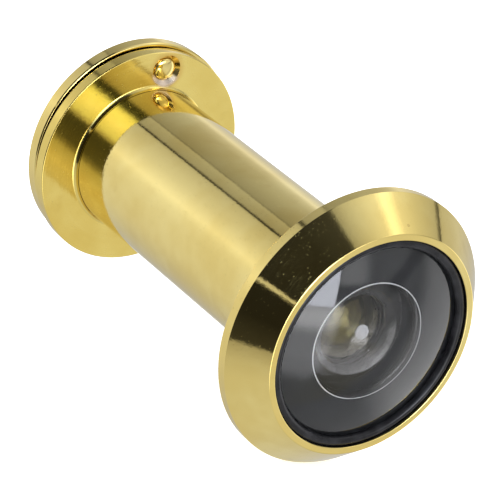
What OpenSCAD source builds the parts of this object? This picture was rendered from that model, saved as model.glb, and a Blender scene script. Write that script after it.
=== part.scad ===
// Door viewer with a swinging privacy cover.
// Frame: the barrel's axis lies along Y and passes through the origin. The head and its glass
// face -Y (outdoors), the cover faces +Y (indoors), and +Z is up. y = 0 is the flat back of the
// head, where it rests on the door. The inner half is drawn screwed fully home.

/* [Barrel] */
// Outside diameter of the plain barrel
barrel_d = 14; // [13.8:0.1:15]
// Length of the barrel from the head's seat to its open end
barrel_len = 33.9; // [32:0.1:45]
// Diameter of the rear bore that takes the threaded tube
rear_bore_d = 12.4; // [12.36:0.01:12.5]

/* [Head] */
// Largest diameter of the head
head_d = 26; // [25:0.1:30]
// Height of the plain rim at the foot of the head's bevel
rim_h = 1.05; // [0.6:0.05:1.6]
// Height of the head from its seat to its lip
head_h = 4.05; // [4:0.01:4.2]
// Outside diameter of the lip, where the bevel ends
lip_d = 21.2; // [21:0.1:22]
// Diameter of the opening inside the lip
mouth_d = 19.76; // [19.7:0.01:19.9]

/* [Objective glass] */
// Diameter of the objective glass over its edge
glass_d = 19.6; // [19.5:0.01:19.66]
// Diameter of the domed part of the objective glass
dome_d = 17.96; // [17.9:0.02:17.96]
// Height that the dome's top stands out in front of the seat plane
dome_top = 5.3; // [4.6:0.1:5.6]
// Radius of the hollow ground into the back of the objective glass
hollow_r = 7.36; // [7.2:0.02:7.6]
// Thickness left in the middle of the objective glass
glass_mid = 1.3; // [1.1:0.05:1.5]

/* [Inner ring] */
// Outside diameter of the ring that clamps on the inside of the door
ring_d = 21.2; // [20.8:0.1:24]
// Thickness of the ring
ring_t = 1.2; // [1.15:0.05:1.6]

/* [Privacy cover] */
// Diameter of the swinging cover
cover_d = 21.2; // [20.8:0.1:24]
// Thickness of the cover
cover_t = 1.4; // [1.2:0.1:2]
// Gap between the ring and the cover, filled by the washer at the rivet
cover_gap = 0.25; // [0.2:0.05:0.4]
// How far the cover's centre sits above the barrel's axis
cover_lift = 0.35; // [0:0.05:0.4]

/* [Rivet] */
// Distance from the barrel's axis up to the rivet
rivet_up = 8.85; // [8.7:0.05:8.9]
// Diameter of the rivet's shank
rivet_d = 1.5; // [1.4:0.1:1.5]

/* [Thread] */
// Distance that the tube moves in one turn
pitch = 1; // [1]
// Diameter over the thread's crests
thread_d = 12.28; // [12.2:0.02:12.3]
// Depth of the thread
thread_h = 0.45; // [0.3:0.05:0.5]

/* [Hidden] */
$fn = 128;

barrel_r = barrel_d / 2;
rear_r = rear_bore_d / 2;
head_r = head_d / 2;
lip_r = lip_d / 2;
mouth_r = mouth_d / 2;
glass_r = glass_d / 2;
dome_r = dome_d / 2;

// Planes along the axis, front to back
dome_edge_y = -3.42;  // rim of the dome
edge_y = -2.94;       // front of the glass's flat edge
glass_back_y = -1.9;  // back of the glass
cup_y = -1.6;         // floor of the head's cup
step_y = -0.6;        // shoulder that stops the lens cell
cell_end_y = 8.2;     // back of the lens cell
bore_y = 8.6;         // where the rear bore begins
tube_y = 9.2;         // front end of the threaded tube
tube_head_t = 0.5;    // thickness of the tube's clamping head
ring_y = barrel_len;  // front face of the ring
end_y = ring_y + 0.1; // open end of the barrel, standing in the ring's recess
ring_back_y = ring_y + ring_t;
head_y = ring_back_y - tube_head_t - 0.03;
cover_y = ring_back_y + cover_gap;
cover_back_y = cover_y + cover_t;

// Radii inside the barrel
port_r = 5.3;   // opening in the cup's floor
cell_r = 5.8;   // bore for the lens cell
train_r = 4.6;  // bore inside the lens cell
see_r = 3.9;    // clear opening of the lens cell
thread_r = thread_d / 2;
root_r = thread_r - thread_h;
tube_bore_r = 4.3;
eye_seat_r = 4.9;
eye_seat_y = barrel_len - 4.3;

// Objective glass: dome radius from its height over its rim, and sphere centres
dome_sag = dome_top + dome_edge_y;
dome_R = (dome_r * dome_r + dome_sag * dome_sag) / (2 * dome_sag);
dome_c = -dome_top + dome_R;
hollow_c = -dome_top + glass_mid + hollow_r;

// Turns local Z into the barrel's axis
module along() { rotate([-90, 0, 0]) children(); }
// A turned piece from its half section, given as [radius, y] points
module turned(pts) { along() rotate_extrude() polygon(pts); }
// A plain rod or hole from y0 to y1
module rod(r, y0, y1) { translate([0, y0, 0]) along() cylinder(r = r, h = y1 - y0); }
// A full ball centred on the axis
module ball(r, y) { translate([0, y, 0]) along() sphere(r = r); }
// A ring with a plain bore
module washer(ro, ri, y0, y1) {
    difference() { rod(ro, y0, y1); rod(ri, y0 - 1, y1 + 1); }
}
// Rounded corner in a half section, centre [cx, cy], radius r, from angle a0 to a1
function arc(cx, cy, r, a0, a1, n = 4) =
    [for (i = [0:n]) let (a = a0 + (a1 - a0) * i / n) [cx + r * cos(a), cy + r * sin(a)]];
// One ridge of thread per pitch, as points along the tube's outside from y0 to y1
function ridges(y0, y1) =
    [for (i = [0:floor((y1 - y0) / pitch) - 1], k = [0:3])
        let (s = y0 + i * pitch)
        k == 0 ? [root_r, s + 0.12 * pitch] :
        k == 1 ? [thread_r, s + 0.42 * pitch] :
        k == 2 ? [thread_r, s + 0.54 * pitch] : [root_r, s + 0.84 * pitch]];

// Head, cup and plain barrel, turned from one bar
module outer_barrel() {
    color("gold") turned(concat(
        [[barrel_r, 0], [head_r - 0.12, 0], [head_r, -0.12], [head_r, -rim_h + 0.06],
         [head_r - 0.05, -rim_h - 0.06]],
        [[lip_r + 0.06, -head_h + 0.2], [lip_r - 0.08, -head_h + 0.07], [lip_r - 0.26, -head_h],
         [mouth_r + 0.18, -head_h], [mouth_r + 0.05, -head_h + 0.06], [mouth_r, -head_h + 0.16]],
        [[mouth_r, -3.86], [mouth_r + 0.12, -3.8], [mouth_r + 0.12, edge_y],
         [mouth_r, edge_y], [mouth_r, cup_y], [port_r + 0.1, cup_y], [port_r, cup_y + 0.1],
         [port_r, step_y], [cell_r, step_y], [cell_r, bore_y], [rear_r, bore_y + 0.3],
         [rear_r, barrel_len - 0.15], [rear_r + 0.2, end_y],
         [barrel_r - 0.08, end_y], [barrel_r, end_y - 0.08]]));
}

// Domed glass with a stepped flat edge and a deep hollow in its back
module objective_lens() {
    color("LightSlateGray", 0.6) difference() {
        union() {
            intersection() {
                ball(dome_R, dome_c);
                rod(dome_r, -dome_top - 1, glass_back_y);
            }
            rod(glass_r, edge_y, glass_back_y);
        }
        ball(hollow_r, hollow_c);
    }
}

// Black ring of round section that holds the glass in the cup
module objective_seal() {
    color("black") along() rotate_extrude()
        translate([mouth_r - 0.41, edge_y - 0.48]) circle(r = 0.47, $fn = 48);
}

// Thin black washer under the glass
module lens_gasket() {
    color("black") washer(glass_r - 0.1, port_r + 0.1, glass_back_y, cup_y);
}

// Black cell that holds the second and third lens; its mouth is a cone
module front_cell() {
    color("black") turned([
        [port_r - 0.1, glass_back_y + 0.1], [port_r - 0.1, step_y], [cell_r - 0.05, step_y],
        [cell_r - 0.05, cell_end_y], [train_r, cell_end_y], [train_r, 0],
        [see_r, 0], [see_r, -0.25], [port_r - 0.3, glass_back_y + 0.1]]);
}

// Second lens: slightly domed front, hollow back
module second_lens() {
    color("LightSteelBlue", 0.6) difference() {
        union() {
            rod(train_r - 0.05, 0, 2);
            intersection() { ball(12, 12 - 0.6); rod(see_r - 0.1, -1, 0.5); }
        }
        ball(6, 6.8);
    }
}

// Black tube that spaces the second and third lens
module middle_spacer() { color("black") washer(train_r - 0.03, 3.95, 2, 4.6); }

// Third lens: hollow front, flat back
module third_lens() {
    color("LightSteelBlue", 0.6) difference() {
        rod(train_r - 0.05, 4.6, 6.4);
        ball(7, -1.5);
    }
}

// Ring screwed in behind the third lens
module lens_retainer() {
    color("DimGray") difference() {
        washer(train_r - 0.02, 3.4, 6.4, 8);
        translate([-6, 7.4, -0.4]) cube([12, 2, 0.8]);
    }
}

// Threaded tube whose slotted head clamps the ring against the door
module eyepiece_tube() {
    color("goldenrod") difference() {
        turned(concat(
            [[tube_bore_r, tube_y], [root_r - 0.3, tube_y], [root_r, tube_y + 0.3]],
            ridges(tube_y + 0.4, barrel_len - 1),
            [[root_r, head_y], [7.5, head_y], [7.5, ring_back_y - 0.13],
             [7.4, ring_back_y - 0.03], [eye_seat_r + 0.1, ring_back_y - 0.03],
             [eye_seat_r, ring_back_y - 0.13], [eye_seat_r, eye_seat_y],
             [tube_bore_r, eye_seat_y]]));
        // Slot for a coin, across the head
        translate([-9, ring_back_y - 0.73, -0.7]) cube([18, 2, 1.4]);
        // Seat for the field stop in the front end
        rod(4.62, tube_y - 1, tube_y + 0.8);
    }
}

// Black stop in the front end of the threaded tube
module field_stop() { color("black") washer(4.6, 2.9, tube_y + 0.1, tube_y + 0.8); }

// Biconvex lens that the eye looks through
module eyepiece_lens() {
    color("LightSteelBlue", 0.6) union() {
        rod(eye_seat_r - 0.05, eye_seat_y, eye_seat_y + 1.1);
        intersection() {
            ball(12.6, eye_seat_y - 0.7 + 12.6);
            rod(tube_bore_r - 0.15, eye_seat_y - 2, eye_seat_y + 0.5);
        }
        intersection() {
            ball(10, eye_seat_y + 1.1 + 0.8 - 10);
            rod(4, eye_seat_y + 0.6, eye_seat_y + 3);
        }
    }
}

// Black ring pressed in over the eyepiece lens
module eyepiece_retainer() {
    color("black") washer(eye_seat_r - 0.02, 4.1, eye_seat_y + 1.1, eye_seat_y + 3.6);
}

// Clamping ring: counterbored for the tube's head, countersunk for the rivet's tail, with a
// shallow recess in its front that the barrel's end stands in
module cover_ring() {
    color("gold") difference() {
        turned([[6.35, ring_y + 0.12], [barrel_r + 0.15, ring_y + 0.12], [barrel_r + 0.15, ring_y],
                [ring_d / 2 - 0.1, ring_y], [ring_d / 2, ring_y + 0.1],
                [ring_d / 2, ring_back_y - 0.15], [ring_d / 2 - 0.15, ring_back_y],
                [7.65, ring_back_y], [7.65, head_y - 0.02], [6.35, head_y - 0.02]]);
        translate([0, 0, rivet_up]) {
            rod(rivet_d / 2 + 0.01, ring_y - 1, ring_back_y + 1);
            translate([0, ring_y, 0]) along()
                cylinder(r1 = 1.5, r2 = rivet_d / 2 + 0.01, h = 0.6);
        }
    }
}

// Pivot rivet: domed head behind the cover, shank, and a tail spread into the countersink
module cover_rivet() {
    color("gold") translate([0, 0, rivet_up]) {
        rod(rivet_d / 2, ring_y + 0.5, cover_back_y + 0.1);
        // Mushroomed tail, standing in the countersink
        translate([0, ring_y, 0]) along() rotate_extrude() polygon(concat(
            [for (i = [0:8]) let (a = i * 90 / 8) [1.06 * sin(a), 0.32 - 0.29 * cos(a)]],
            [[rivet_d / 2, 0.57], [0, 0.57]]));
        intersection() {
            translate([0, cover_back_y + 0.03 + 0.55 - 2.7, 0]) along() sphere(r = 2.7);
            rod(1.6, cover_back_y + 0.03, cover_back_y + 2);
        }
    }
}

// Thin washer on the rivet between the ring and the cover
module pivot_washer() {
    color("silver") translate([0, 0, rivet_up])
        washer(1.15, rivet_d / 2 + 0.02, ring_back_y, cover_y - 0.02);
}

// Round cover with a rounded outer edge and the rivet's hole near its rim
module privacy_cover() {
    r = cover_d / 2;
    e = 0.45;
    color("gold") difference() {
        translate([0, 0, cover_lift]) turned(concat(
            [[0, cover_y], [r - 0.12, cover_y], [r, cover_y + 0.12]],
            arc(r - e, cover_back_y - e, e, 0, 90, 6),
            [[0, cover_back_y]]));
        translate([0, 0, rivet_up]) rod(rivet_d / 2 + 0.05, cover_y - 1, cover_back_y + 1);
    }
}

outer_barrel();
objective_lens();
objective_seal();
lens_gasket();
front_cell();
second_lens();
middle_spacer();
third_lens();
lens_retainer();
eyepiece_tube();
field_stop();
eyepiece_lens();
eyepiece_retainer();
cover_ring();
cover_rivet();
pivot_washer();
privacy_cover();
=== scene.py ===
import math

import bpy
from mathutils import Matrix, Vector, geometry


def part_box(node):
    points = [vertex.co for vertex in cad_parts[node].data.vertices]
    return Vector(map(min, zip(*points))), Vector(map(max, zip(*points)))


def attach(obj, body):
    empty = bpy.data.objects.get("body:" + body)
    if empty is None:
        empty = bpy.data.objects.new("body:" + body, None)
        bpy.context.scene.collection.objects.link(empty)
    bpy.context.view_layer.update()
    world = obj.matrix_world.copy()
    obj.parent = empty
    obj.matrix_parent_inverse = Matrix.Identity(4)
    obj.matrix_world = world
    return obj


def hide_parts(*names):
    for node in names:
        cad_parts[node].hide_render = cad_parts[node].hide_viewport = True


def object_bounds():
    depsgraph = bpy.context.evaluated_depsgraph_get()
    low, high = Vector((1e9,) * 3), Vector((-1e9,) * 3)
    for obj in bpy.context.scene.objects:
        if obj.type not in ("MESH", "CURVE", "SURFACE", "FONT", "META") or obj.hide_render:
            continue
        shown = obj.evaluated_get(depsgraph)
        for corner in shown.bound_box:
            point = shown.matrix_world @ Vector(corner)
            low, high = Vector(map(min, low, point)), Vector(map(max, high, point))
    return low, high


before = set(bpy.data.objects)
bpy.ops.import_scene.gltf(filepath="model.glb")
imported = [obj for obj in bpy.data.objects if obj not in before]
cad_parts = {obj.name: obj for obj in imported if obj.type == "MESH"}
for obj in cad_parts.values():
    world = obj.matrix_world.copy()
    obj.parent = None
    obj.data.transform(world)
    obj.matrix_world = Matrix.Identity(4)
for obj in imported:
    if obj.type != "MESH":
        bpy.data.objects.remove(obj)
CAD_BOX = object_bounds()
MM = 0.001

# ---------------------------------------------------------------------------
# Mesh building. Lengths in here are millimetres. Profiles are (radius, y).
# ---------------------------------------------------------------------------


def unit(x, y):
    d = math.hypot(x, y) or 1.0
    return x / d, y / d


def ball_arc(cy, rad, r0, r1, side, n, hollow=False):
    """Points on a ball centred on the axis at cy, from radius r0 to r1, on its low-y (side -1) or high-y (side 1) part."""
    out = []
    for i in range(n + 1):
        a0, a1 = math.asin(r0 / rad), math.asin(r1 / rad)
        a = a0 + (a1 - a0) * i / n
        r, dy = rad * math.sin(a), side * rad * math.cos(a)
        s = -1 if hollow else 1
        out.append((r, cy + dy, s * r / rad, s * dy / rad))
    return out


def circle_arc(cr, cy, rad, a0, a1, n):
    """Points on a small circle in the half section, outside normals."""
    out = []
    for i in range(n + 1):
        a = math.radians(a0 + (a1 - a0) * i / n)
        out.append((cr + rad * math.cos(a), cy + rad * math.sin(a), math.cos(a), math.sin(a)))
    return out


def section(items, closed=True, steps=5):
    """Turns corners (r, y[, fillet]) and arcs (lists of r, y, nr, ny) into samples (r, y, normal before, normal after)."""
    flat = []
    for it in items:
        if isinstance(it, list):
            for k, s in enumerate(it):
                flat.append({"p": (s[0], s[1]), "n": (s[2], s[3]), "first": k == 0, "last": k == len(it) - 1})
        else:
            flat.append({"p": (it[0], it[1]), "n": None, "fil": it[2] if len(it) > 2 else 0.0})
    m = len(flat)
    area = 0.0
    for i in range(m):
        (x0, y0), (x1, y1) = flat[i]["p"], flat[(i + 1) % m]["p"]
        area += x0 * y1 - x1 * y0
    turn = 1.0 if area > 0 else -1.0

    def edge(i):
        (x0, y0), (x1, y1) = flat[i % m]["p"], flat[(i + 1) % m]["p"]
        return unit(x1 - x0, y1 - y0)

    def edge_len(i):
        (x0, y0), (x1, y1) = flat[i % m]["p"], flat[(i + 1) % m]["p"]
        return math.hypot(x1 - x0, y1 - y0)

    out = []
    for i, c in enumerate(flat):
        d0, d1 = edge(i - 1), edge(i)
        n0, n1 = (turn * d0[1], -turn * d0[0]), (turn * d1[1], -turn * d1[0])
        if c["n"] is not None:
            before = n0 if c["first"] else c["n"]
            after = n1 if c["last"] else c["n"]
            out.append((c["p"][0], c["p"][1], before, after))
            continue
        open_end = not closed and i in (0, m - 1)
        cross = d0[0] * d1[1] - d0[1] * d1[0]
        dot = d0[0] * d1[0] + d0[1] * d1[1]
        ang = math.atan2(abs(cross), dot)
        if c["fil"] <= 0 or open_end or ang < 0.02:
            if open_end:
                n0 = n1 if i == 0 else n0
                n1 = n0 if i == m - 1 else n1
            out.append((c["p"][0], c["p"][1], n0, n1))
            continue
        t = min(c["fil"] * math.tan(ang / 2), 0.46 * edge_len(i - 1), 0.46 * edge_len(i))
        rad = t / math.tan(ang / 2)
        s = 1.0 if cross * turn > 0 else -1.0
        sx, sy = c["p"][0] - d0[0] * t, c["p"][1] - d0[1] * t
        cx, cy = sx - s * rad * n0[0], sy - s * rad * n0[1]
        for k in range(steps + 1):
            f = ang * k / steps
            w0, w1 = math.sin(ang - f) / math.sin(ang), math.sin(f) / math.sin(ang)
            n = unit(n0[0] * w0 + n1[0] * w1, n0[1] * w0 + n1[1] * w1)
            out.append((cx + s * rad * n[0], cy + s * rad * n[1], n, n))
    return out


class Solid:
    """Rings of points, faces, and one normal for each face corner."""

    def __init__(self):
        self.v, self.f, self.n, self.m = [], [], [], []
        self.a = []

    def ring(self, r, y, seg, z0=0.0):
        if r < 1e-5:
            self.v.append((0.0, y, z0))
            self.a.append(None)
            return [len(self.v) - 1]
        ids = []
        for k in range(seg):
            a = 2 * math.pi * k / seg
            self.v.append((r * math.sin(a), y, z0 + r * math.cos(a)))
            self.a.append(a)
            ids.append(len(self.v) - 1)
        return ids

    def _n(self, i, n, like):
        a = self.a[i]
        if a is None:
            return (0.0, 1.0 if n[1] > 0 else -1.0, 0.0) if abs(n[0]) < 1e-6 else (
                n[0] * math.sin(like), n[1], n[0] * math.cos(like))
        return (n[0] * math.sin(a), n[1], n[0] * math.cos(a))

    def face(self, ids, normals, mat=0):
        p = [Vector(self.v[i]) for i in ids]
        g = geometry.normal(p) if len(p) > 2 else Vector((0, 0, 1))
        mean = Vector((0, 0, 0))
        for x in normals:
            mean += Vector(x)
        if g.dot(mean) < 0:
            ids, normals = ids[::-1], normals[::-1]
        self.f.append(ids)
        self.n.extend(normals)
        self.m.append(mat)

    def strip(self, a, b, na, nb, mat=0):
        seg = max(len(a), len(b))
        for k in range(seg):
            j = (k + 1) % seg
            mid = 2 * math.pi * (k + 0.5) / seg
            if len(a) == 1:
                ids, ns = [a[0], b[k], b[j]], [na, nb, nb]
            elif len(b) == 1:
                ids, ns = [a[k], a[j], b[0]], [na, na, nb]
            else:
                ids, ns = [a[k], a[j], b[j], b[k]], [na, na, nb, nb]
            self.face(ids, [self._n(i, n, mid) for i, n in zip(ids, ns)], mat)

    def chain(self, samples, seg, z0=0.0, closed=True, mats=None):
        rings = [self.ring(s[0], s[1], seg, z0) for s in samples]
        for i in range(len(samples) - (0 if closed else 1)):
            j = (i + 1) % len(samples)
            if len(rings[i]) == 1 and len(rings[j]) == 1:
                continue
            mat = mats(samples[i], samples[j]) if mats else 0
            self.strip(rings[i], rings[j], samples[i][3], samples[j][2], mat)
        return rings

    def plate(self, loops, ny, mat=0):
        """A flat face in a plane of constant y, bounded by the first loop, with holes."""
        pts = [[Vector((self.v[i][0], self.v[i][2], 0.0)) for i in lp] for lp in loops]
        flat = [i for lp in loops for i in lp]
        for tri in geometry.tessellate_polygon(pts):
            ids = [flat[k] for k in tri]
            self.face(ids, [(0.0, ny, 0.0)] * 3, mat)

    def make(self, name, body, mats, slot, *nodes):
        me = bpy.data.meshes.new(name)
        me.from_pydata([(x * MM, y * MM, z * MM) for x, y, z in self.v], [], self.f)
        for mt in mats:
            me.materials.append(mt)
        for p, k in zip(me.polygons, self.m):
            p.material_index = k
            p.use_smooth = True
        me.update()
        me.normals_split_custom_set([Vector(n).normalized() for n in self.n])
        ob = bpy.data.objects.new(name, me)
        bpy.context.scene.collection.objects.link(ob)
        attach(ob, body)
        if nodes:
            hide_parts(*nodes)
        return ob


def lathe(name, body, mats, slot, items, nodes, seg=192, closed=True, steps=5, which=None):
    s = Solid()
    s.chain(section(items, closed, steps), seg, closed=closed, mats=which)
    return s.make(name, body, mats, slot, *nodes)


# ---------------------------------------------------------------------------
# Materials
# ---------------------------------------------------------------------------


class Nodes:
    """A small helper for wiring node trees."""

    def __init__(self, tree):
        self.t = tree

    def add(self, kind, label=None, **inputs):
        n = self.t.nodes.new(kind)
        for k, v in inputs.items():
            if hasattr(n, k) and k not in [i.name for i in n.inputs]:
                setattr(n, k, v)
        return n

    def link(self, a, b):
        self.t.links.new(a, b)

    def math(self, op, a, b=None, c=None, clamp=False):
        n = self.t.nodes.new("ShaderNodeMath")
        n.operation = op
        n.use_clamp = clamp
        for i, x in enumerate((a, b, c)):
            if x is None:
                continue
            if isinstance(x, (int, float)):
                n.inputs[i].default_value = x
            else:
                self.link(x, n.inputs[i])
        return n.outputs[0]

    def vmath(self, op, a, b=None):
        n = self.t.nodes.new("ShaderNodeVectorMath")
        n.operation = op
        for i, x in enumerate((a, b)):
            if x is None:
                continue
            if isinstance(x, (tuple, list, Vector)):
                n.inputs[i].default_value = tuple(x)
            else:
                self.link(x, n.inputs[i])
        return n.outputs["Value"] if op in ("DOT_PRODUCT", "LENGTH", "DISTANCE") else n.outputs["Vector"]

    def ramp(self, x, f0, f1, t0=0.0, t1=1.0, smooth=True):
        n = self.t.nodes.new("ShaderNodeMapRange")
        n.interpolation_type = "SMOOTHSTEP" if smooth else "LINEAR"
        n.clamp = True
        self.link(x, n.inputs["Value"])
        n.inputs["From Min"].default_value = f0
        n.inputs["From Max"].default_value = f1
        n.inputs["To Min"].default_value = t0
        n.inputs["To Max"].default_value = t1
        return n.outputs[0]

    def mix(self, f, a, b):
        n = self.t.nodes.new("ShaderNodeMix")
        n.data_type = "RGBA"
        for sock, x in ((n.inputs[0], f), (n.inputs[6], a), (n.inputs[7], b)):
            if isinstance(x, (int, float)):
                sock.default_value = x
            elif isinstance(x, tuple):
                sock.default_value = x
            else:
                self.link(x, sock)
        return n.outputs[2]

    def noise(self, vec, scale, detail=2.0, rough=0.5, w=None):
        n = self.t.nodes.new("ShaderNodeTexNoise")
        if w is not None:
            n.noise_dimensions = "4D"
            if isinstance(w, (int, float)):
                n.inputs["W"].default_value = w
            else:
                self.link(w, n.inputs["W"])
        self.link(vec, n.inputs["Vector"])
        n.inputs["Scale"].default_value = scale
        n.inputs["Detail"].default_value = detail
        n.inputs["Roughness"].default_value = rough
        return n.outputs["Fac"]


def new_material(name):
    m = bpy.data.materials.new(name)
    m.use_nodes = True
    t = m.node_tree
    t.nodes.clear()
    k = Nodes(t)
    out = t.nodes.new("ShaderNodeOutputMaterial")
    bsdf = t.nodes.new("ShaderNodeBsdfPrincipled")
    k.link(bsdf.outputs[0], out.inputs[0])
    co = t.nodes.new("ShaderNodeTexCoord").outputs["Object"]
    return m, k, bsdf, out, co


def bump(k, bsdf, height, dist, strength=1.0):
    n = k.t.nodes.new("ShaderNodeBump")
    n.inputs["Strength"].default_value = strength
    n.inputs["Distance"].default_value = dist
    k.link(height, n.inputs["Height"])
    k.link(n.outputs[0], bsdf.inputs["Normal"])
    return n


def turned_coordinates(k, co, lift=0.0):
    """Distance along a turned surface (radius + y, metres) and a slow coordinate round it."""
    sep = k.t.nodes.new("ShaderNodeSeparateXYZ")
    k.link(co, sep.inputs[0])
    x, y = sep.outputs[0], sep.outputs[1]
    z = k.math("SUBTRACT", sep.outputs[2], lift)
    r = k.math("SQRT", k.math("ADD", k.math("MULTIPLY", x, x), k.math("MULTIPLY", z, z)))
    q = k.math("ADD", r, y)
    rr = k.math("ADD", r, 1e-5)
    comb = k.t.nodes.new("ShaderNodeCombineXYZ")
    k.link(k.math("DIVIDE", x, rr), comb.inputs[0])
    k.link(k.math("DIVIDE", z, rr), comb.inputs[2])
    return q, r, comb.outputs[0]


def brass(name, tint=(0.86, 0.71, 0.27), rough=0.03, lines=1.0, lift=0.0, grime=1.0, painted_shade_and_lacquer_z=None):
    m, k, b, out, co = new_material(name)
    q, r, around = turned_coordinates(k, co, lift)

    # Turning marks: fine rings that wander slowly round the axis
    comb = k.t.nodes.new("ShaderNodeCombineXYZ")
    k.link(k.math("MULTIPLY", q, 5200.0), comb.inputs[1])
    v = k.vmath("ADD", comb.outputs[0], k.vmath("MULTIPLY", around, (0.35, 0.0, 0.35)))
    fine = k.noise(v, 1.0, 3.0, 0.62)
    comb2 = k.t.nodes.new("ShaderNodeCombineXYZ")
    k.link(k.math("MULTIPLY", q, 900.0), comb2.inputs[1])
    v2 = k.vmath("ADD", comb2.outputs[0], k.vmath("MULTIPLY", around, (0.22, 0.0, 0.22)))
    wide = k.noise(v2, 1.0, 2.0, 0.5)

    # Plating: tiny grains and a faint unevenness
    grain = k.noise(co, 9000.0, 2.0, 0.6)
    dimple = k.noise(co, 2600.0, 2.0, 0.5)
    uneven = k.noise(co, 420.0, 3.0, 0.55)
    cloud = k.noise(co, 130.0, 3.0, 0.6)

    # Small pits and specks
    vor = k.t.nodes.new("ShaderNodeTexVoronoi")
    vor.feature = "F1"
    k.link(co, vor.inputs["Vector"])
    vor.inputs["Scale"].default_value = 620.0
    vor.inputs["Randomness"].default_value = 1.0
    pick = k.t.nodes.new("ShaderNodeSeparateColor")
    k.link(vor.outputs["Color"], pick.inputs[0])
    size = k.ramp(pick.outputs[0], 0.86, 1.0, 0.0, 0.10, smooth=False)
    speck = k.math("LESS_THAN", vor.outputs["Distance"], size)
    speck_soft = k.math("MULTIPLY", speck, 0.38 * grime)

    # Fine dull points in the plating
    fv = k.t.nodes.new("ShaderNodeTexVoronoi")
    fv.feature = "F1"
    k.link(co, fv.inputs["Vector"])
    fv.inputs["Scale"].default_value = 3600.0
    fpick = k.t.nodes.new("ShaderNodeSeparateColor")
    k.link(fv.outputs["Color"], fpick.inputs[0])
    fsize = k.ramp(fpick.outputs[1], 0.35, 1.0, 0.06, 0.24, smooth=False)
    point = k.math("LESS_THAN", fv.outputs["Distance"], fsize)

    deep = (tint[0] * 0.93, tint[1] * 0.885, tint[2] * 0.80, 1.0)
    pale = (min(1.0, tint[0] * 1.03), min(1.0, tint[1] * 1.035), tint[2] * 1.10, 1.0)
    col = k.mix(k.ramp(cloud, 0.34, 0.68), deep, pale)
    col = k.mix(k.math("MULTIPLY", k.ramp(uneven, 0.58, 0.80), 0.32 * grime), col,
                (tint[0] * 0.80, tint[1] * 0.72, tint[2] * 0.62, 1.0))
    col = k.mix(speck_soft, col, (tint[0] * 0.40, tint[1] * 0.33, tint[2] * 0.30, 1.0))
    ro = k.math("ADD", k.math("MULTIPLY", fine, 0.035 * lines), rough)
    if painted_shade_and_lacquer_z is not None:
        # Painted shade round the rivet's hole: the brass turns darker and browner there, standing in for the shade of
        # the countersink; and a smear of dried lacquer below it
        sep = k.t.nodes.new("ShaderNodeSeparateXYZ")
        k.link(co, sep.inputs[0])
        dx, dz = sep.outputs[0], k.math("SUBTRACT", sep.outputs[2], painted_shade_and_lacquer_z)
        dist = k.math("SQRT", k.math("ADD", k.math("MULTIPLY", dx, dx), k.math("MULTIPLY", dz, dz)))
        ragged = k.math("ADD", dist, k.math("MULTIPLY", k.math("SUBTRACT", uneven, 0.5), 0.0006))
        painted_shade = k.math("MULTIPLY", k.ramp(ragged, 0.0012, 0.0022, 1.0, 0.0), 0.75)
        col = k.mix(painted_shade, col, (tint[0] * 0.78, tint[1] * 0.58, tint[2] * 0.45, 1.0))
        low = k.ramp(k.math("DIVIDE", dz, k.math("ADD", dist, 1e-6)), -0.75, -0.15, 1.0, 0.0)
        band = k.math("MULTIPLY", k.ramp(ragged, 0.00105, 0.00125), k.ramp(ragged, 0.0015, 0.0018, 1.0, 0.0))
        lacquer = k.math("MULTIPLY", k.math("MULTIPLY", low, band), 0.85)
        col = k.mix(lacquer, col, (0.74, 0.63, 0.56, 1.0))
        ro = k.math("ADD", ro, k.math("MULTIPLY", lacquer, 0.32))
    k.link(col, b.inputs["Base Color"])
    b.inputs["Metallic"].default_value = 1.0

    ro = k.math("ADD", ro, k.math("MULTIPLY", k.ramp(cloud, 0.40, 0.75), 0.045 * grime))
    ro = k.math("ADD", ro, k.math("MULTIPLY", point, 0.16 * grime))
    ro = k.math("ADD", ro, k.math("MULTIPLY", speck, 0.22), clamp=True)
    k.link(ro, b.inputs["Roughness"])

    h = k.math("MULTIPLY", fine, 0.55 * lines)
    h = k.math("ADD", h, k.math("MULTIPLY", wide, 2.0 * lines))
    h = k.math("ADD", h, k.math("MULTIPLY", grain, 0.20))
    h = k.math("ADD", h, k.math("MULTIPLY", dimple, 1.9))
    h = k.math("ADD", h, k.math("MULTIPLY", uneven, 1.2 * grime))
    h = k.math("SUBTRACT", h, k.math("MULTIPLY", speck, 1.2))
    bump(k, b, h, 1.6e-6)
    return m


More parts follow.
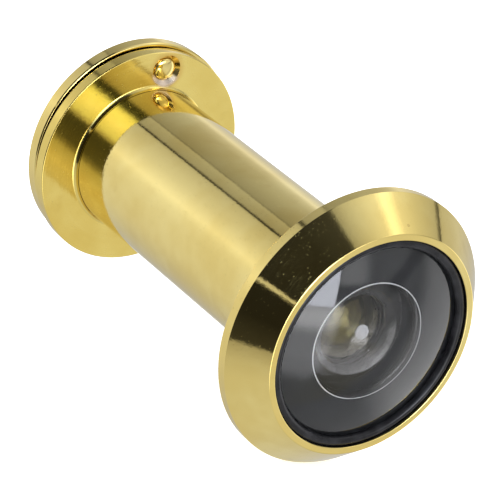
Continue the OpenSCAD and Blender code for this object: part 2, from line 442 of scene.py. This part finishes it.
def glass(name, tint=(0.984, 0.984, 0.990), dust=1.0, painted_reflection_tint=(1.0, 1.0, 1.0)):
    m, k, b, out, co = new_material(name)
    smear = k.noise(co, 260.0, 3.0, 0.6)
    tiny = k.noise(co, 2600.0, 2.0, 0.6)
    col = k.mix(k.ramp(smear, 0.35, 0.7), (tint[0], tint[1], tint[2], 1.0),
                (tint[0] * 0.975, tint[1] * 0.98, tint[2] * 0.98, 1.0))
    k.link(col, b.inputs["Base Color"])
    b.inputs["Transmission Weight"].default_value = 1.0
    b.inputs["IOR"].default_value = 1.52
    # Colour of the reflections: white leaves them plain, and a gold tint here is a painted reflection of brass
    b.inputs["Specular Tint"].default_value = (painted_reflection_tint[0], painted_reflection_tint[1], painted_reflection_tint[2], 1.0)
    ro = k.math("MULTIPLY", k.ramp(smear, 0.55, 0.80), 0.02)
    k.link(ro, b.inputs["Roughness"])
    bump(k, b, k.math("ADD", k.math("MULTIPLY", smear, 1.0), k.math("MULTIPLY", tiny, 0.04)), 4e-7)

    # A few motes of dust lying on the polish
    vor = k.t.nodes.new("ShaderNodeTexVoronoi")
    vor.feature = "F1"
    k.link(co, vor.inputs["Vector"])
    vor.inputs["Scale"].default_value = 520.0
    pick = k.t.nodes.new("ShaderNodeSeparateColor")
    k.link(vor.outputs["Color"], pick.inputs[0])
    size = k.ramp(pick.outputs[1], 0.93, 1.0, 0.0, 0.075, smooth=False)
    mote = k.math("LESS_THAN", vor.outputs["Distance"], size)
    lint = k.t.nodes.new("ShaderNodeBsdfDiffuse")
    lint.inputs["Color"].default_value = (0.75, 0.76, 0.78, 1.0)
    mix = k.t.nodes.new("ShaderNodeMixShader")
    k.link(k.math("MULTIPLY", mote, 0.8 * dust), mix.inputs[0])
    k.link(b.outputs[0], mix.inputs[1])
    k.link(lint.outputs[0], mix.inputs[2])
    k.link(mix.outputs[0], out.inputs[0])
    return m


def ground_glass(name):
    m, k, b, out, co = new_material(name)
    n = k.noise(co, 3000.0, 3.0, 0.6)
    k.link(k.mix(n, (0.88, 0.90, 0.91, 1.0), (0.97, 0.98, 0.99, 1.0)), b.inputs["Base Color"])
    b.inputs["Transmission Weight"].default_value = 0.22
    b.inputs["IOR"].default_value = 1.52
    k.link(k.ramp(n, 0.2, 0.8, 0.32, 0.5), b.inputs["Roughness"])
    bump(k, b, n, 2.0e-6)
    return m


def rubber(name):
    m, k, b, out, co = new_material(name)
    mott = k.noise(co, 700.0, 3.0, 0.6)
    fine = k.noise(co, 7000.0, 2.0, 0.6)
    k.link(k.mix(k.ramp(mott, 0.3, 0.75), (0.006, 0.006, 0.007, 1.0), (0.016, 0.016, 0.018, 1.0)),
           b.inputs["Base Color"])
    k.link(k.ramp(mott, 0.25, 0.8, 0.16, 0.26), b.inputs["Roughness"])
    b.inputs["Specular IOR Level"].default_value = 0.22
    bump(k, b, k.math("ADD", k.math("MULTIPLY", fine, 0.5), mott), 1.0e-6)
    return m


def gasket_rubber(name):
    m, k, b, out, co = new_material(name)
    mott = k.noise(co, 500.0, 3.0, 0.6)
    fine = k.noise(co, 6000.0, 2.0, 0.6)
    k.link(k.mix(k.ramp(mott, 0.3, 0.75), (0.019, 0.0205, 0.0235, 1.0), (0.025, 0.027, 0.0305, 1.0)),
           b.inputs["Base Color"])
    k.link(k.ramp(mott, 0.25, 0.8, 0.80, 0.92), b.inputs["Roughness"])
    b.inputs["Specular IOR Level"].default_value = 0.04
    bump(k, b, fine, 1.0e-6)
    return m


def black_metal(name, base=0.018, rough=0.38, lines=1.0):
    m, k, b, out, co = new_material(name)
    q, r, around = turned_coordinates(k, co)
    comb = k.t.nodes.new("ShaderNodeCombineXYZ")
    k.link(k.math("MULTIPLY", q, 4200.0), comb.inputs[1])
    rings = k.noise(k.vmath("ADD", comb.outputs[0], k.vmath("MULTIPLY", around, (0.4, 0.0, 0.4))), 1.0, 3.0, 0.6)
    mott = k.noise(co, 900.0, 3.0, 0.6)
    k.link(k.mix(k.ramp(mott, 0.3, 0.75), (base * 0.7, base * 0.7, base * 0.74, 1.0),
                 (base * 1.5, base * 1.5, base * 1.55, 1.0)), b.inputs["Base Color"])
    k.link(k.math("ADD", k.math("MULTIPLY", rings, 0.16), rough - 0.08), b.inputs["Roughness"])
    bump(k, b, k.math("ADD", k.math("MULTIPLY", rings, 1.6 * lines), k.math("MULTIPLY", mott, 0.6)), 3e-6)
    return m


def steel(name):
    m, k, b, out, co = new_material(name)
    q, r, around = turned_coordinates(k, co)
    n = k.noise(co, 5000.0, 3.0, 0.6)
    k.link(k.mix(n, (0.58, 0.57, 0.55, 1.0), (0.74, 0.73, 0.71, 1.0)), b.inputs["Base Color"])
    b.inputs["Metallic"].default_value = 1.0
    k.link(k.ramp(n, 0.2, 0.8, 0.16, 0.30), b.inputs["Roughness"])
    bump(k, b, n, 1.5e-6)
    return m


BRASS = brass("polished_brass")
BRASS_COVER = brass("polished_brass_cover", lift=0.00035)
BRASS_THREAD = brass("turned_brass", tint=(0.83, 0.68, 0.30), rough=0.13, lines=2.0)
GLASS = glass("optical_glass")
# The inner glass's reflections are tinted brass-gold: a painted reflection of the brass round the lenses
GLASS_IN = glass("optical_glass_inner", dust=0.4, painted_reflection_tint=(0.42, 0.35, 0.13))
GROUND = ground_glass("ground_glass_edge")
RUBBER = rubber("black_rubber")
GASKET = gasket_rubber("gasket_rubber")
LACQUER = gasket_rubber("glass_back_lacquer")
CELL = black_metal("black_cell")
CELL_GLOSS = black_metal("black_cell_gloss", base=0.013, rough=0.18, lines=3.2)
CELL_DARK = black_metal("black_cell_matt", base=0.010, rough=0.55)
STEEL = steel("steel_washer")

# ---------------------------------------------------------------------------
# Places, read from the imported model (millimetres)
# ---------------------------------------------------------------------------


def place(node):
    lo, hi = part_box(node)
    return lo / MM, hi / MM


b_lo, b_hi = place("outer_barrel")
HEAD_R, HEAD_H, END_Y = b_hi.x, -b_lo.y, b_hi.y
g_lo, g_hi = place("objective_lens")
GLASS_R, APEX_Y, GLASS_BACK = g_hi.x, g_lo.y, g_hi.y
s_lo, s_hi = place("objective_seal")
SEAL_R, SEAL_Y, SEAL_S = s_hi.x, (s_lo.y + s_hi.y) / 2, (s_hi.y - s_lo.y) / 2
k_lo, k_hi = place("lens_gasket")
CUP_Y = k_hi.y
f_lo, f_hi = place("front_cell")
CELL_R, CELL_END = f_hi.x, f_hi.y
t_lo, t_hi = place("eyepiece_tube")
TUBE_Y, TUBE_END, TUBE_HEAD_R = t_lo.y, t_hi.y, t_hi.x
r_lo, r_hi = place("cover_ring")
RING_R, RING_Y, RING_BACK = r_hi.x, r_lo.y, r_hi.y
c_lo, c_hi = place("privacy_cover")
COVER_R, COVER_Y, COVER_BACK, COVER_LIFT = c_hi.x, c_lo.y, c_hi.y, (c_lo.z + c_hi.z) / 2
v_lo, v_hi = place("cover_rivet")
RIVET_Z, RIVET_HEAD_R = (v_lo.z + v_hi.z) / 2, v_hi.x
BARREL_R = 7.0
MOUTH_R = SEAL_R - 0.06
EDGE_Y = -2.94
DOME_R0, DOME_Y = 8.98, -3.42
STEP_Y = -0.6

# ---------------------------------------------------------------------------
# Outer half
# ---------------------------------------------------------------------------

def barrel_mats(a, b):
    """The bore is blackened from the glass seat to the thread."""
    inside = max(a[0], b[0]) < MOUTH_R + 0.2 and -3.9 < min(a[1], b[1]) and max(a[1], b[1]) < 8.7
    return 1 if inside and max(a[0], b[0]) != BARREL_R and not (a[1] >= 0 and a[0] > 6.5) else 0


outer = lathe("outer_barrel_turned", "outer_half", [BRASS, CELL_DARK], "polished_brass", [
    (BARREL_R, 0.0, 0.10), (HEAD_R, 0.0, 0.14), (HEAD_R, -1.05, 0.09), (10.493, -HEAD_H, 0.16),
    (MOUTH_R, -HEAD_H, 0.15), (MOUTH_R, -3.86), (MOUTH_R + 0.12, -3.8), (MOUTH_R + 0.12, EDGE_Y),
    (MOUTH_R, EDGE_Y), (MOUTH_R, CUP_Y, 0.04), (5.3, CUP_Y, 0.08), (5.3, STEP_Y), (5.8, STEP_Y),
    (5.8, 8.6), (6.2, 8.9), (6.2, END_Y - 0.25), (6.4, END_Y, 0.02), (BARREL_R, END_Y, 0.08),
], ["outer_barrel"], seg=256, which=barrel_mats)

DOME_SAG = DOME_Y - APEX_Y
DOME_R = (DOME_R0 ** 2 + DOME_SAG ** 2) / (2 * DOME_SAG)
DOME_C = APEX_Y + DOME_R
HOLLOW_R = 7.36
HOLLOW_C = APEX_Y + 1.3 + HOLLOW_R
HOLLOW_EDGE = math.sqrt(HOLLOW_R ** 2 - (HOLLOW_C - GLASS_BACK) ** 2)

ground = []
he = HOLLOW_EDGE
hy = HOLLOW_C - math.sqrt(HOLLOW_R ** 2 - (he - 0.06) ** 2)
lens_items = [
    ball_arc(DOME_C, DOME_R, 0.0, DOME_R0 - 0.03, -1, 40),
    (DOME_R0, DOME_Y + 0.02), (DOME_R0, EDGE_Y, 0.02),
    (GLASS_R, EDGE_Y, 0.06), (GLASS_R, GLASS_BACK, 0.06),
    (he + 0.03, GLASS_BACK),
    ball_arc(HOLLOW_C, HOLLOW_R, 0.0, he - 0.06, -1, 36, hollow=True)[::-1],
]


def lens_mats(a, b):
    """The narrow chamfer round the hollow is ground, the flat back is lacquered black, the rest is polished."""
    if abs(a[0] - (he + 0.03)) < 1e-4 and abs(b[0] - (he - 0.06)) < 1e-3:
        return 1
    if abs(a[1] - GLASS_BACK) < 1e-6 and abs(b[1] - GLASS_BACK) < 1e-6:
        return 2
    return 0


lathe("objective_glass", "outer_half", [GLASS, GROUND, LACQUER], "optical_glass", lens_items,
      ["objective_lens"], seg=256, closed=False, which=lens_mats)

# Black seal: a round bead
lathe("objective_seal_ring", "outer_half", [RUBBER], "black_rubber", [
    circle_arc(SEAL_R - SEAL_S, SEAL_Y, SEAL_S, 90, 450 - 1e-3, 40)[:-1],
], ["objective_seal"], seg=224)

lathe("lens_gasket_ring", "outer_half", [GASKET], "black_rubber", [
    (k_hi.x, k_lo.y + 0.02, 0.03), (k_hi.x, k_hi.y - 0.02, 0.03), (5.4, k_hi.y - 0.02, 0.03),
    (5.4, k_lo.y + 0.02, 0.03),
], ["lens_gasket"], seg=160)

lathe("front_cell_turned", "outer_half", [CELL_GLOSS], "black_cell", [
    (5.2, f_lo.y, 0.03), (5.2, STEP_Y), (CELL_R, STEP_Y, 0.03), (CELL_R, CELL_END, 0.05), (4.6, CELL_END, 0.05),
    (4.6, 0.0), (3.9, 0.0), (3.9, -0.25, 0.03),
] + [c for i in range(6) for c in ((3.9 + 0.18 * (i + 1), -0.25 - 0.235 * i, 0.03),
                                   (3.9 + 0.18 * (i + 1), -0.25 - 0.235 * (i + 1), 0.03))] + [
    (5.08, f_lo.y, 0.02),
], ["front_cell"], seg=192)

FRONT2 = 12 - 0.6
lathe("second_lens_glass", "outer_half", [GLASS_IN], "optical_glass", [
    ball_arc(FRONT2, 12.0, 0.0, 3.78, -1, 24),
    (3.8, 0.02), (4.55, 0.02, 0.05), (4.55, 1.98, 0.05),
    ball_arc(6.8, 6.0, 0.0, math.sqrt(36 - 4.82 ** 2), -1, 24, hollow=True)[::-1],
], ["second_lens"], seg=160, closed=False)

lathe("middle_spacer_tube", "outer_half", [CELL_DARK], "black_cell", [
    (3.95, 2.0), (4.57, 2.0, 0.03), (4.57, 4.6, 0.03), (3.95, 4.6),
], ["middle_spacer"], seg=128)

lathe("third_lens_glass", "outer_half", [GLASS_IN], "optical_glass", [
    ball_arc(-1.5, 7.0, 0.0, math.sqrt(49 - 6.12 ** 2), 1, 20, hollow=True),
    (4.55, 4.62, 0.05), (4.55, 6.38, 0.05), (0.0, 6.38),
], ["third_lens"], seg=160, closed=False)

for name in ("lens_retainer",):
    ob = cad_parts[name]
    ob.data.materials.clear()
    ob.data.materials.append(CELL_DARK)

# ---------------------------------------------------------------------------
# Inner half: ring, rivet, washer, cover
# ---------------------------------------------------------------------------

SEG = 256
HOLE_SEG = 64
CSK_R, HOLE_R = 1.5, 0.76
# The ring's brass is painted darker and browner round the rivet's hole as shade, with a lacquer smear below
BRASS_RING = brass("polished_brass_ring", tint=(0.855, 0.695, 0.215), lines=4.0, painted_shade_and_lacquer_z=RIVET_Z * MM)

# The ring's face runs up to the barrel in a small hollow curve
ring_root = [(7.37 - 0.34 * math.cos(math.radians(a)), RING_Y - 0.48 + 0.48 * math.sin(math.radians(a)),
              *unit(math.cos(math.radians(a)) / 0.34, -math.sin(math.radians(a)) / 0.48)) for a in range(0, 91, 6)]
ring = Solid()
edge_run = ring.chain(section([
    (RING_R - 0.2, RING_Y), (RING_R, RING_Y, 0.10), (RING_R, RING_BACK, 0.15), (RING_R - 0.22, RING_BACK)],
    closed=False), SEG, closed=False)
bore_run = ring.chain(section([
    (7.85, RING_BACK), (7.65, RING_BACK, 0.05), (7.65, TUBE_END - 0.52, 0.02), (6.35, TUBE_END - 0.52, 0.03),
    (6.35, RING_Y + 0.12, 0.03), (7.03, RING_Y + 0.12, 0.01), (7.03, RING_Y - 0.48), ring_root,
    (7.29, RING_Y)],
    closed=False), SEG, closed=False)
hole_run = ring.chain(section([
    (CSK_R + 0.02, RING_Y), (CSK_R, RING_Y, 0.02), (HOLE_R, RING_Y + 0.6, 0.04), (HOLE_R, RING_BACK, 0.04),
    (HOLE_R + 0.08, RING_BACK)], closed=False), HOLE_SEG, z0=RIVET_Z, closed=False)
ring.plate([edge_run[0], bore_run[-1], hole_run[0]], -1.0)
ring.plate([edge_run[-1], bore_run[0], hole_run[-1]], 1.0)
ring.make("cover_ring_turned", "inner_ring", [BRASS_RING], "polished_brass", "cover_ring")

rivet = Solid()
head_c = COVER_BACK + 0.03 + 0.55 - 2.7
rivet.chain(section([
    [(1.06 * math.sin(math.radians(a)), RING_Y + 0.32 - 0.29 * math.cos(math.radians(a)),
      *unit(math.sin(math.radians(a)) / 1.06, -math.cos(math.radians(a)) / 0.29)) for a in range(0, 91, 6)],
    (0.75, RING_Y + 0.57), (0.75, COVER_BACK + 0.03), (RIVET_HEAD_R, COVER_BACK + 0.03, 0.015),
    ball_arc(head_c, 2.7, 0.0, RIVET_HEAD_R, 1, 16)[::-1],
], closed=False), HOLE_SEG, z0=RIVET_Z, closed=False)
rivet.make("cover_rivet_formed", "inner_ring", [BRASS], "polished_brass", "cover_rivet")

w_lo, w_hi = place("pivot_washer")
washer = Solid()
washer.chain(section([
    (0.77, w_lo.y, 0.02), (w_hi.x, w_lo.y, 0.04), (w_hi.x, w_hi.y, 0.04), (0.77, w_hi.y, 0.02)]),
    HOLE_SEG, z0=RIVET_Z)
washer.make("pivot_washer_pressed", "inner_ring", [STEEL], "steel_washer", "pivot_washer")

cover = Solid()
rim_run = cover.chain(section([
    (COVER_R - 0.35, COVER_Y), (COVER_R, COVER_Y, 0.25), (COVER_R, COVER_BACK, 0.45), (COVER_R - 0.55, COVER_BACK)],
    closed=False, steps=8), SEG, z0=COVER_LIFT, closed=False)
pin_run = cover.chain(section([
    (0.90, COVER_Y), (0.80, COVER_Y, 0.04), (0.80, COVER_BACK, 0.04), (0.90, COVER_BACK)], closed=False),
    HOLE_SEG, z0=RIVET_Z, closed=False)
cover.plate([rim_run[0], pin_run[0]], -1.0)
cover.plate([rim_run[-1], pin_run[-1]], 1.0)
cover.make("privacy_cover_disc", "cover", [BRASS_COVER], "polished_brass", "privacy_cover")

# ---------------------------------------------------------------------------
# Eyepiece: threaded tube, stop, lens and its ring
# ---------------------------------------------------------------------------

PITCH, CREST, ROOT = 1.0, 6.14, 5.69


def thread(phase):
    """Height of the thread between root (0) and crest (1), and its slope, over one pitch."""
    p = phase % 1.0
    if 0.14 < p < 0.44:
        f = (p - 0.14) / 0.30
        return f * f * (3 - 2 * f), 6 * f * (1 - f) / 0.30
    if 0.44 <= p <= 0.52:
        return 1.0, 0.0
    if 0.52 < p < 0.82:
        f = (p - 0.52) / 0.30
        return 1 - f * f * (3 - 2 * f), -6 * f * (1 - f) / 0.30
    return 0.0, 0.0


def threaded_tube():
    tube = Solid()
    seg, per = 96, 14
    y0, y1 = TUBE_Y + 0.3, RING_Y - 1.0
    rows = int(round((y1 - y0) / PITCH * per))
    grid = []
    for i in range(rows + 1):
        y = y0 + (y1 - y0) * i / rows
        fade = min(1.0, (y - y0) / 0.8, (y1 - y) / 0.8)
        fade = fade * fade * (3 - 2 * fade)
        ids, ns = [], []
        for k in range(seg):
            a = 2 * math.pi * k / seg
            h, dh = thread((y - y0) / PITCH - k / seg)
            r = ROOT + (CREST - ROOT) * h * fade
            slope = (CREST - ROOT) * dh * fade
            tang = slope / (2 * math.pi * r)
            n = Vector((math.sin(a) + tang * math.cos(a), -slope / PITCH, math.cos(a) - tang * math.sin(a)))
            tube.v.append((r * math.sin(a), y, r * math.cos(a)))
            tube.a.append(a)
            ids.append(len(tube.v) - 1)
            ns.append(tuple(n.normalized()))
        grid.append((ids, ns))
    for (a, na), (b, nb) in zip(grid, grid[1:]):
        for k in range(seg):
            j = (k + 1) % seg
            tube.face([a[k], a[j], b[j], b[k]], [na[k], na[j], nb[j], nb[k]])
    rest = section([
        (ROOT, y1), (ROOT, TUBE_END - 0.5), (TUBE_HEAD_R, TUBE_END - 0.5, 0.05), (TUBE_HEAD_R, TUBE_END, 0.10),
        (4.9, TUBE_END, 0.10), (4.9, 29.6), (4.3, 29.6, 0.05), (4.3, TUBE_Y + 0.8), (4.62, TUBE_Y + 0.8),
        (4.62, TUBE_Y, 0.05), (ROOT - 0.3, TUBE_Y), (ROOT, y0)], closed=False)
    rings = [grid[-1][0]] + [tube.ring(s[0], s[1], seg) for s in rest[1:-1]] + [grid[0][0]]
    for i in range(len(rest) - 1):
        bore = max(rest[i][0], rest[i + 1][0]) < 4.7 and max(rest[i][1], rest[i + 1][1]) < 29.7
        tube.strip(rings[i], rings[i + 1], rest[i][3], rest[i + 1][2], 1 if bore else 0)
    ob = tube.make("eyepiece_tube_threaded", "eyepiece", [BRASS_THREAD, CELL_DARK], "turned_brass", "eyepiece_tube")

    # Coin slot across the head
    cut = bpy.data.meshes.new("slot_cut")
    w, d = 0.7 * MM, 0.7 * MM
    x = 9 * MM
    ya, yb = TUBE_END * MM - d, TUBE_END * MM + 1 * MM
    cut.from_pydata([(sx * x, yy, sz * w) for sx in (-1, 1) for yy in (ya, yb) for sz in (-1, 1)], [],
                    [(0, 1, 3, 2), (4, 6, 7, 5), (0, 4, 5, 1), (2, 3, 7, 6), (0, 2, 6, 4), (1, 5, 7, 3)])
    cutter = bpy.data.objects.new("slot_cut", cut)
    bpy.context.scene.collection.objects.link(cutter)
    mod = ob.modifiers.new("slot", "BOOLEAN")
    mod.operation = "DIFFERENCE"
    mod.solver = "EXACT"
    mod.object = cutter
    bpy.context.view_layer.update()
    dg = bpy.context.evaluated_depsgraph_get()
    me = bpy.data.meshes.new_from_object(ob.evaluated_get(dg))
    ob.modifiers.clear()
    old = ob.data
    ob.data = me
    me.name = "eyepiece_tube_mesh"
    bpy.data.meshes.remove(old)
    bpy.data.objects.remove(cutter)
    bpy.data.meshes.remove(cut)
    me.normals_split_custom_set([(0.0, 0.0, 0.0)] * len(me.loops))
    for p in me.polygons:
        p.use_smooth = True
    me.set_sharp_from_angle(angle=math.radians(34))
    return ob


threaded_tube()

lathe("field_stop_ring", "eyepiece", [CELL_DARK], "black_cell", [
    (2.9, TUBE_Y + 0.1), (4.6, TUBE_Y + 0.1, 0.03), (4.6, TUBE_Y + 0.8, 0.03), (3.1, TUBE_Y + 0.8)],
    ["field_stop"], seg=128)

lathe("eyepiece_lens_glass", "eyepiece", [GLASS_IN], "optical_glass", [
    ball_arc(28.9 + 12.6, 12.6, 0.0, 4.141, -1, 24),
    (4.85, 29.6, 0.05), (4.85, 30.7, 0.05),
    ball_arc(21.5, 10.0, 0.0, 3.919, 1, 24)[::-1],
], ["eyepiece_lens"], seg=160, closed=False)

lathe("eyepiece_retainer_ring", "eyepiece", [CELL], "black_cell", [
    (4.1, 30.7, 0.05), (4.88, 30.7, 0.03), (4.88, 33.2, 0.05), (4.3, 33.2, 0.05), (4.1, 33.0, 0.03)],
    ["eyepiece_retainer"], seg=160)

# ---------------------------------------------------------------------------
# Floor, light, camera
# ---------------------------------------------------------------------------


def floor():
    me = bpy.data.meshes.new("floor")
    z = CAD_BOX[0].z - 0.0001
    s, n = 1.6, 8
    me.from_pydata([(-s + 2 * s * i / n, -s + 2 * s * j / n, z) for j in range(n + 1) for i in range(n + 1)], [],
                   [(j * (n + 1) + i, j * (n + 1) + i + 1, (j + 1) * (n + 1) + i + 1, (j + 1) * (n + 1) + i)
                    for j in range(n) for i in range(n)])
    ob = bpy.data.objects.new("floor", me)
    bpy.context.scene.collection.objects.link(ob)
    m, k, b, out, co = new_material("pale_floor")
    n1 = k.noise(co, 30.0, 3.0, 0.5)
    k.link(k.mix(n1, (0.79, 0.79, 0.79, 1.0), (0.81, 0.81, 0.81, 1.0)), b.inputs["Base Color"])
    b.inputs["Roughness"].default_value = 0.9
    b.inputs["Specular IOR Level"].default_value = 0.1
    b.inputs["Emission Color"].default_value = (1.0, 1.0, 1.0, 1.0)
    b.inputs["Emission Strength"].default_value = 0.50
    me.materials.append(m)
    ob.visible_glossy = False
    ob.visible_transmission = False
    return ob


floor()


def direction(az, el):
    """Unit direction: az 0 is -Y, 90 is +X; el is up towards +Z."""
    a, e = math.radians(az), math.radians(el)
    return Vector((math.sin(a) * math.cos(e), -math.cos(a) * math.cos(e), math.sin(e)))


def studio():
    """A light tent with its strips along the viewer's axis: brightness goes by the angle round the axis, from three
    rings of strips (behind, beside and in front of the object), and panels in front of the glass."""
    world = bpy.data.worlds.new("studio")
    bpy.context.scene.world = world
    world.use_nodes = True
    t = world.node_tree
    t.nodes.clear()
    k = Nodes(t)
    d = t.nodes.new("ShaderNodeTexCoord").outputs["Generated"]
    sep = t.nodes.new("ShaderNodeSeparateXYZ")
    k.link(d, sep.inputs[0])
    x, y, z = sep.outputs
    turn = k.math("ARCTAN2", x, z)
    turn = k.math("ADD", k.math("DIVIDE", turn, 2 * math.pi), 0.5)
    waver = k.math("SUBTRACT", k.noise(d, 70.0, 2.0, 0.6), 0.5)
    turn = k.math("ADD", turn, k.math("MULTIPLY", waver, 0.004))

    def level(v):
        v = (v, v, v) if isinstance(v, (int, float)) else v
        return (v[0] / 4, v[1] / 4, v[2] / 4, 1.0)

    def ring(stops):
        n = t.nodes.new("ShaderNodeValToRGB")
        k.link(turn, n.inputs[0])
        n.color_ramp.interpolation = "LINEAR"
        e = n.color_ramp.elements
        while len(e) > 1:
            e.remove(e[-1])
        e[0].position = 0.0
        e[0].color = level(stops[0][1])
        for angle, v in stops[1:]:
            e.new((angle + 180) / 360).color = level(v)
        return n.outputs[0]

    def panel(col, az, el, hu, hv, su, sv, to, roll=0.0):
        """A rectangle seen flat on from the middle: half sizes and edge softness in degrees."""
        w = direction(az, el)
        a, e, q = math.radians(az), math.radians(el), math.radians(roll)
        u0 = Vector((math.cos(a), math.sin(a), 0.0))
        v0 = Vector((-math.sin(a) * math.sin(e), math.cos(a) * math.sin(e), math.cos(e)))
        u, v = u0 * math.cos(q) + v0 * math.sin(q), v0 * math.cos(q) - u0 * math.sin(q)
        dw = k.vmath("DOT_PRODUCT", d, w)
        f = k.math("GREATER_THAN", dw, 0.05)
        dw = k.math("MAXIMUM", dw, 0.05)
        for axis, half, soft in ((u, hu, su), (v, hv, sv)):
            c = k.math("ABSOLUTE", k.math("DIVIDE", k.vmath("DOT_PRODUCT", d, axis), dw))
            t0, t1 = math.tan(math.radians(max(0.0, half - soft))), math.tan(math.radians(half + soft))
            f = k.math("MULTIPLY", f, k.ramp(c, t0, t1, 1.0, 0.0))
        return k.mix(f, col, level(to))

    back, side, front = ring(BACK_RING), ring(SIDE_RING), ring(FRONT_RING)
    col = k.mix(k.ramp(y, -0.67, -0.59), front, side)
    col = k.mix(k.ramp(y, 0.60, 0.70), col, back)
    for p in PANELS:
        col = panel(col, *p)
    # The window shows in the outside of the glass, the round lamp in the surfaces behind it
    path = t.nodes.new("ShaderNodeLightPath").outputs
    outside = col
    inside = k.mix(k.ramp(z, 0.05, 0.40, 0.0, 0.85), col, level(0.12))
    inside = k.mix(k.ramp(z, -0.65, -0.20, 0.8, 0.0), inside, level((2.6, 2.6, 2.75)))
    for p in WINDOW:
        outside = panel(outside, *p)
    for az, el, r_in, r_out, to in LAMPS:
        dot = k.vmath("DOT_PRODUCT", d, direction(az, el))
        f = k.ramp(dot, math.cos(math.radians(r_out)), math.cos(math.radians(r_in)))
        inside = k.mix(f, inside, level(to))
    col = k.mix(k.math("GREATER_THAN", path["Transmission Depth"], 0.5), outside, inside)
    col = k.mix(k.math("GREATER_THAN", path["Diffuse Depth"], 0.5), col, level(SOFT))

    lit = t.nodes.new("ShaderNodeBackground")
    k.link(col, lit.inputs[0])
    lit.inputs[1].default_value = 4.0
    plain = t.nodes.new("ShaderNodeBackground")
    plain.inputs[0].default_value = (0.96, 0.96, 0.96, 1.0)
    cam = path["Is Camera Ray"]
    mix = t.nodes.new("ShaderNodeMixShader")
    out = t.nodes.new("ShaderNodeOutputWorld")
    k.link(cam, mix.inputs[0])
    k.link(lit.outputs[0], mix.inputs[1])
    k.link(plain.outputs[0], mix.inputs[2])
    k.link(mix.outputs[0], out.inputs[0])


# Angle round the axis (0 is up, 90 is +X) and brightness
BACK_RING = [
    (-180, 0.65), (-150, 0.79), (-105, 0.87), (-90, 0.95), (-78, 1.12), (-66, 0.95), (-54, 0.80), (-28, 0.60),
    (-25.2, 0.52), (-24.3, 0.07), (-21.9, 0.05), (-20.6, 0.38), (-3, 0.49), (-1.7, 0.22), (1, 0.33), (20, 0.42), (42, 0.52),
    (57, 0.67), (67, 0.96), (78, 0.78), (92, 0.63), (128, 0.72), (142, 0.52), (160, 0.58), (180, 0.65)]
SIDE_RING = [
    (-180, 0.75), (-146, 0.74), (-134, 0.65), (-122.5, 0.46), (-120, 0.05), (-100, 0.022), (-77.5, 0.022),
    (-76.8, 0.75), (-74.6, 0.75), (-74.0, 0.025), (-30, 0.03), (-8.5, 0.05), (-6.2, 0.11), (-4.6, 0.40), (2, 0.57), (14, 0.82),
    (24, 1.04), (30, 1.75), (34, 1.5), (38, 1.07), (50, 0.80), (65.6, 0.54), (66.4, 0.10), (68.0, 0.10),
    (69.0, 0.62), (84, 0.70), (106, 0.59), (138, 0.65), (180, 0.75)]
FRONT_RING = [
    (-180, 0.80), (-150, 0.80), (-129, (0.64, 0.68, 0.72)), (-122, (0.33, 0.35, 0.36)), (-113, (0.13, 0.145, 0.15)),
    (-84, (0.085, 0.10, 0.12)), (-76, (0.10, 0.115, 0.125)), (-71, (0.62, 0.70, 0.92)), (-64, (1.14, 1.36, 1.7)),
    (-46, (1.5, 1.68, 2.0)), (-31, (1.47, 1.66, 1.62)), (-23, (1.10, 1.26, 1.20)), (-18.5, (0.095, 0.115, 0.11)),
    (-8, (0.035, 0.043, 0.04)), (-4, (0.075, 0.085, 0.08)), (1.5, 0.48), (18, 0.63),
    (45, 0.74), (72, 0.68), (92, 0.70), (115, 0.86), (122, (0.82, 0.79, 0.70)), (150, (0.72, 0.69, 0.56)),
    (180, 0.80)]
# Azimuth, elevation, half sizes, softness, brightness
PANELS = [
    (75, -12, 17, 25, 6, 6, 1.45),
    (18, 15, 8, 9, 4, 2, 2.4),
    (38, 13, 12, 9, 7, 4, 0.95),
    (47, 8.5, 3.2, 13, 2.2, 6, 0.42, -60),
    (0, -20, 14, 15, 3, 5, 2.4),
    (0, -15, 14, 12, 3, 0.7, 2.7),
    (0, -8, 14, 5, 3, 4, 6.6),
]
WINDOW = [(1, 8, 9.6, 11.4, 0.6, 0.8, (9.8, 10.1, 11.0))]
# Azimuth, elevation, inner and outer radius, brightness
LAMPS = [(0.6, 6.6, 11.7, 12.9, (18.0, 18.5, 20.0))]
# Light that has already met a matt surface sees an even tent of this brightness
SOFT = (1.75, 1.76, 1.82)
studio()

sc = bpy.context.scene
sc.view_settings.view_transform = "Standard"
sc.view_settings.look = "None"

cam_data = bpy.data.cameras.new("camera")
cam = bpy.data.objects.new("camera", cam_data)
sc.collection.objects.link(cam)
right = Vector((0.78770, -0.54506, 0.28712))
up = Vector((-0.01927, 0.44402, 0.89581))
back = Vector((-0.61576, -0.71116, 0.33925))
rot = Matrix((right, up, back)).transposed().to_4x4()
cam.matrix_world = Matrix.Translation(Vector((-157.538, -167.095, 86.473)) * MM) @ rot
cam_data.sensor_width = 36.0
cam_data.lens = 206.62
cam_data.clip_start = 0.01
cam_data.clip_end = 10.0
sc.camera = cam
